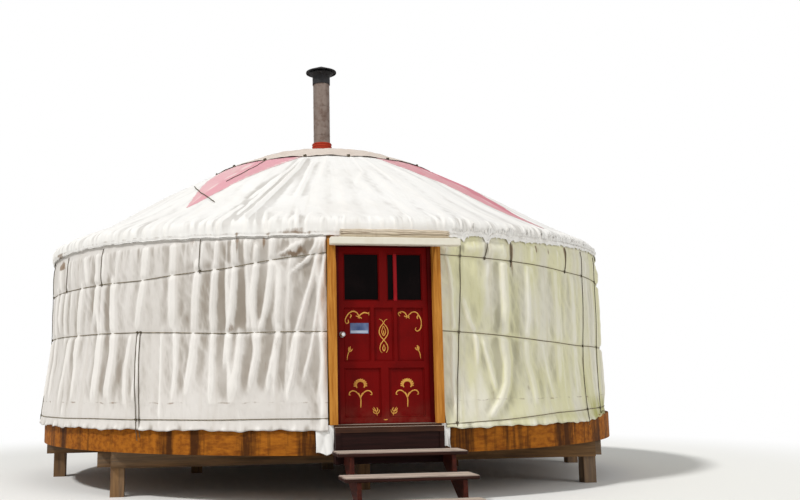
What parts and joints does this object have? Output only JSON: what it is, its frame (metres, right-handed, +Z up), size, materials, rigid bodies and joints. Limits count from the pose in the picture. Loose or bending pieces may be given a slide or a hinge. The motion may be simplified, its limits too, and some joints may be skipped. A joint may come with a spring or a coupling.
{
  "type": "yurt",
  "caption": "Round lattice-walled yurt with a conical canvas roof and a flue, on a raised timber deck with a plank door and open stair.",
  "frame": {"origin": "on the ground at the foot of the central deck post, on the yurt's upright axis", "axes": "+Z up; the door faces -Y; +X is to the right for a person facing the door from outside"},
  "size_m": [7.1602, 8.1503, 5.38],
  "materials": {
    "timber": "rough sawn",
    "floor_boards": "planed boards",
    "plywood": "orange-brown stain",
    "dark_stain": "dark brown stain, worn",
    "red_stain": "reddish stain",
    "pine": "varnished pine",
    "door_red": "dark red gloss paint",
    "cream_paint": "cream paint",
    "tan_canvas": "stained canvas",
    "wall_canvas": "cotton canvas, stained",
    "roof_canvas": "white cotton canvas",
    "crown_canvas": "grey-beige canvas",
    "window_glass": "clear",
    "silver_metal": "satin",
    "dark_steel": "dark",
    "lath_wood": "oiled laths",
    "rope": "weathered rope",
    "flue_steel": "grey-brown, dull",
    "red_rubber": "red silicone",
    "flue_black": "black"
  },
  "bodies": {
    "yurt": {"deck_posts": "timber", "deck_beams": "timber", "deck_joists": "timber", "floor_deck": "floor_boards", "skirt_front": "plywood", "skirt_rear": "plywood", "door_sill": "floor_boards", "entry_riser": "dark_stain", "stair_stringers": "red_stain", "stair_treads": "dark_stain", "door_jambs": "pine", "door_head": "pine", "door_casing": "door_red", "pole_header": "pine", "lintel": "cream_paint", "door_flap_roll": "tan_canvas", "hem_flaps": "wall_canvas", "hinge_frame_plates": "dark_steel", "lattice_1": "lath_wood", "lattice_2": "lath_wood", "lattice_3": "lath_wood", "lattice_4": "lath_wood", "lattice_5": "lath_wood", "lattice_6": "lath_wood", "roof_poles": "lath_wood", "crown_ring": "lath_wood", "crown_spokes": "lath_wood", "wall_cover_left": "wall_canvas", "wall_cover_back": "wall_canvas", "wall_cover_right": "wall_canvas", "roof_cover_front": "roof_canvas", "roof_cover_rear": "roof_canvas", "crown_cover": "crown_canvas", "girth_ropes": "rope", "tie_ropes": "rope", "flue_pipe": "flue_steel", "flue_bracket": "dark_steel", "flue_boot": "red_rubber", "flue_cap": "flue_black"},
    "door": {"door_leaf": "door_red", "door_panels": "door_red", "door_glass": "window_glass", "knob_roses": "silver_metal", "hinge_leaf_plates": "dark_steel"},
    "knob": {"door_knob": "silver_metal"}
  },
  "joints": [
    {"name": "door_swing", "type": "hinge", "parent": "yurt", "child": "door", "pos_m": [0.4525, -3.4037, 1.585], "axis": [0, 0, -1], "range_deg": [0, 100]},
    {"name": "knob_turn", "type": "hinge", "parent": "door", "child": "knob", "pos_m": [-0.41, -3.432, 1.58], "axis": [0, 1, 0], "range_deg": [-50, 50], "stiffness_Nm_per_rad": 0.5}
  ]
}
